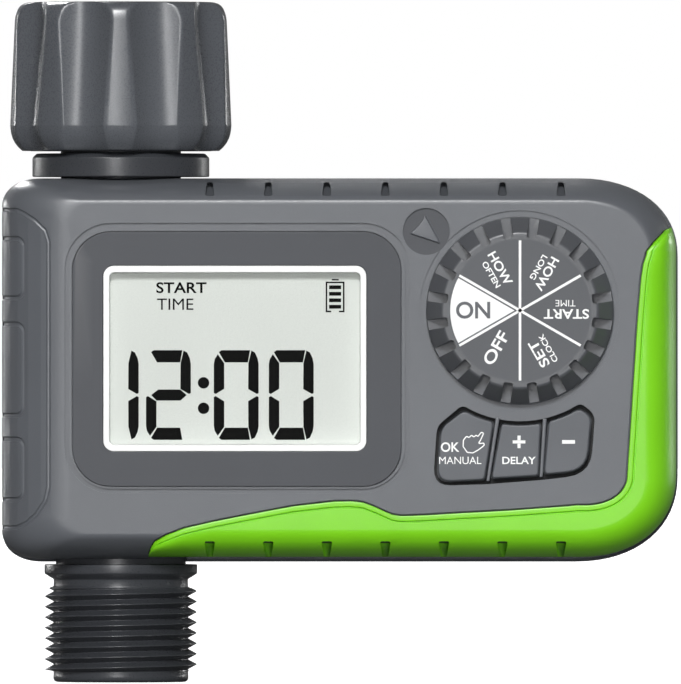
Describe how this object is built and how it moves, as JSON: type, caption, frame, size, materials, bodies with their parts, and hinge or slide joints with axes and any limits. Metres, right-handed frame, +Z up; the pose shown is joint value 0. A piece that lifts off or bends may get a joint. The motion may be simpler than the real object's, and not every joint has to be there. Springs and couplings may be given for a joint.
{
  "type": "irrigation controller",
  "caption": "Battery hose-tap watering timer: swivel threaded inlet, threaded outlet, valve, display, mode dial, press keys and a hinged battery door.",
  "frame": {"origin": "centre of the coupling nut's open mouth, where its thread starts", "axes": "+Z up along the pipe axis, out of the inlet; -Y is the way the display faces; +X is to the right of the display"},
  "size_m": [0.1171, 0.0515, 0.1179],
  "materials": {
    "case_plastic": "fine moulded texture, mid grey",
    "back_plastic": "fine moulded texture, dark grey",
    "trim_plastic": "smooth satin, bright green",
    "pipe_plastic": "glass-filled, dark grey, satin",
    "nut_plastic": "satin moulded, dark grey",
    "bezel_print": "printed behind clear plastic, grey",
    "white_print": "white print",
    "display_glass": "reflective LCD under a clear cover",
    "dial_plastic": "satin, near black grey",
    "key_rubber": "soft-touch silicone, grey",
    "rubber_black": "seal rubber",
    "steel": "zinc-plated or stainless",
    "board_green": "soldermask",
    "chip_black": "moulded parts",
    "white_plastic": "natural moulding",
    "zebra_pink": "elastomer connector",
    "plunger_red": "switch plunger",
    "coil_tape": "taped winding",
    "lead_pvc": "PVC insulation",
    "cell_wrap": "plain printed wrap",
    "brass": "nickel-plated spring brass"
  },
  "bodies": {
    "root": {"front_shell": "case_plastic", "rear_shell": "back_plastic", "case_gasket": "rubber_black", "green_trim": "trim_plastic", "case_screws": "steel", "display_bezel": "bezel_print", "window_frame": "white_print", "display_lens": "display_glass", "lcd_panel": "display_glass", "lcd_holder": "white_plastic", "zebra_strips": "zebra_pink", "main_board": "board_green", "board_parts": "chip_black", "rotary_switch": "chip_black", "dial_seal": "rubber_black", "keypad_seal": "rubber_black", "tact_switches": "chip_black", "inlet_tailpiece": "pipe_plastic", "inlet_washer": "rubber_black", "filter_screen": "steel", "tailpiece_seal": "rubber_black", "tailpiece_clip": "steel", "valve_body": "pipe_plastic", "outlet_seal": "rubber_black", "diaphragm": "rubber_black", "diaphragm_spring": "steel", "valve_bonnet": "pipe_plastic", "bonnet_screws": "steel", "solenoid_coil": "coil_tape", "solenoid_yoke": "steel", "core_tube": "steel", "plunger_spring": "steel", "solenoid_leads": "lead_pvc", "battery_box": "back_plastic", "battery_contacts": "brass", "batteries": "cell_wrap", "battery_leads": "lead_pvc", "hinge_pin": "steel"},
    "nut": {"coupling_nut": "nut_plastic"},
    "dial": {"dial_knob": "dial_plastic", "dial_shaft": "steel"},
    "ok_button": {"key_ok": "key_rubber", "plunger_ok": "plunger_red"},
    "plus_button": {"key_plus": "key_rubber", "plunger_plus": "plunger_red"},
    "minus_button": {"key_minus": "key_rubber", "plunger_minus": "plunger_red"},
    "valve_disc": {"diaphragm_insert": "white_plastic"},
    "plunger": {"solenoid_plunger": "steel"},
    "door": {"battery_door": "back_plastic", "door_gasket": "rubber_black"},
    "lock": {"door_lock": "dial_plastic"}
  },
  "joints": [
    {"name": "nut_spin", "type": "hinge", "parent": "root", "child": "nut", "pos_m": [0, 0, 0], "axis": [0, 0, 1], "continuous": true},
    {"name": "dial_turn", "type": "hinge", "parent": "root", "child": "dial", "pos_m": [0.0691, -0.02, -0.0535], "axis": [0, -1, 0], "continuous": true},
    {"name": "ok_press", "type": "slide", "parent": "root", "child": "ok_button", "axis": [0, 1, 0], "range_m": [0, 0.0008], "stiffness_N_per_m": 500, "springref_m": -0.0005},
    {"name": "plus_press", "type": "slide", "parent": "root", "child": "plus_button", "axis": [0, 1, 0], "range_m": [0, 0.0008], "stiffness_N_per_m": 500, "springref_m": -0.0005},
    {"name": "minus_press", "type": "slide", "parent": "root", "child": "minus_button", "axis": [0, 1, 0], "range_m": [0, 0.0008], "stiffness_N_per_m": 500, "springref_m": -0.0005},
    {"name": "plunger_pull", "type": "slide", "parent": "root", "child": "plunger", "axis": [1, 0, 0], "range_m": [0, 0.0015], "stiffness_N_per_m": 60, "springref_m": -0.004, "deforming": ["plunger_spring"]},
    {"name": "valve_lift", "type": "slide", "parent": "root", "child": "valve_disc", "axis": [1, 0, 0], "range_m": [0, 0.0024], "deforming": ["diaphragm_spring", "diaphragm"]},
    {"name": "door_swing", "type": "hinge", "parent": "root", "child": "door", "pos_m": [0.0305, 0.0231, -0.0645], "axis": [0, 0, 1], "range_deg": [0, 110]},
    {"name": "lock_turn", "type": "hinge", "parent": "door", "child": "lock", "pos_m": [0.062, 0.022, -0.0452], "axis": [0, -1, 0], "range_deg": [0, 90]}
  ],
  "couplings": [
    {"joint": "valve_lift", "follows": "plunger_pull", "ratio": 1.6}
  ]
}
